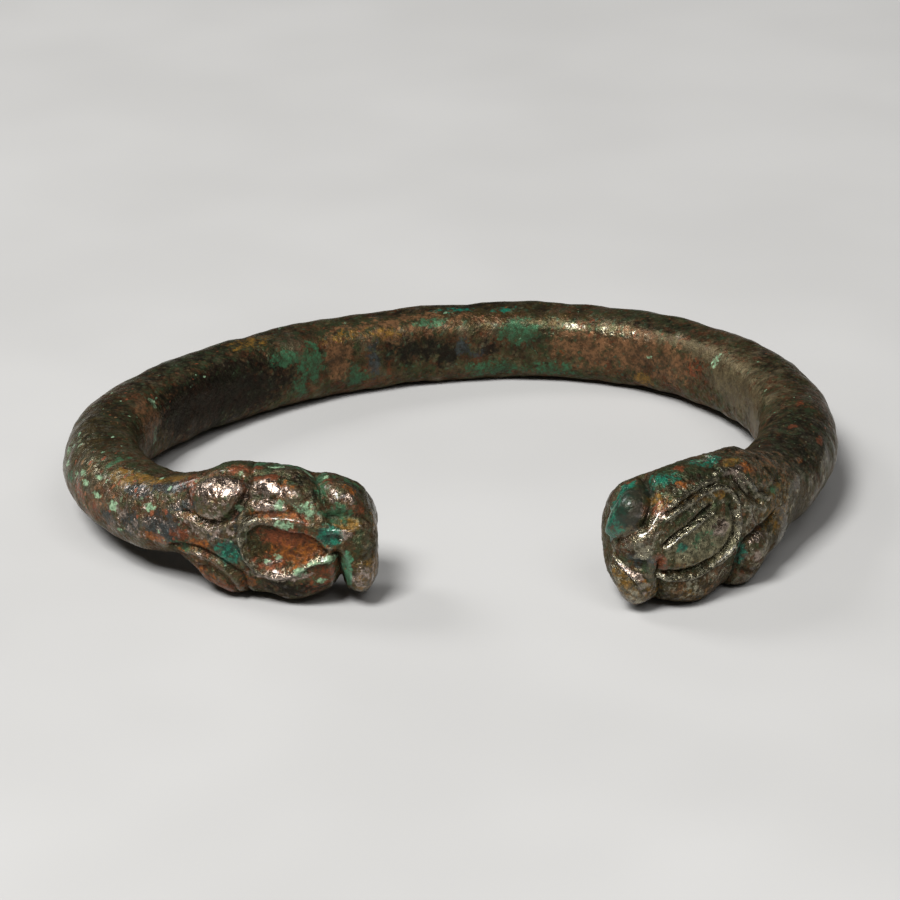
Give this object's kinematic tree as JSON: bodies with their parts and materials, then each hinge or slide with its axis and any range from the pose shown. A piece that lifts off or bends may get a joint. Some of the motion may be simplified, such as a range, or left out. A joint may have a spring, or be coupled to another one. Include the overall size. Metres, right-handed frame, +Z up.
{
  "type": "penannular animal head bracelet",
  "caption": "Open cast hoop bracelet whose two ends are animal heads that face each other across a gap, lying flat.",
  "frame": {"origin": "under the middle of the box, on the surface that the bracelet lies on", "axes": "+Z up, the gap between the heads towards -Y, +X across the hoop's width from the left head to the right"},
  "size_m": [0.075, 0.0646, 0.0125],
  "materials": {
    "bronze": "old cast bronze, dark brown with green, ochre and red-brown patina, worn bright on the high spots"
  },
  "bodies": {
    "root": {"bracelet": "bronze"}
  },
  "joints": []
}
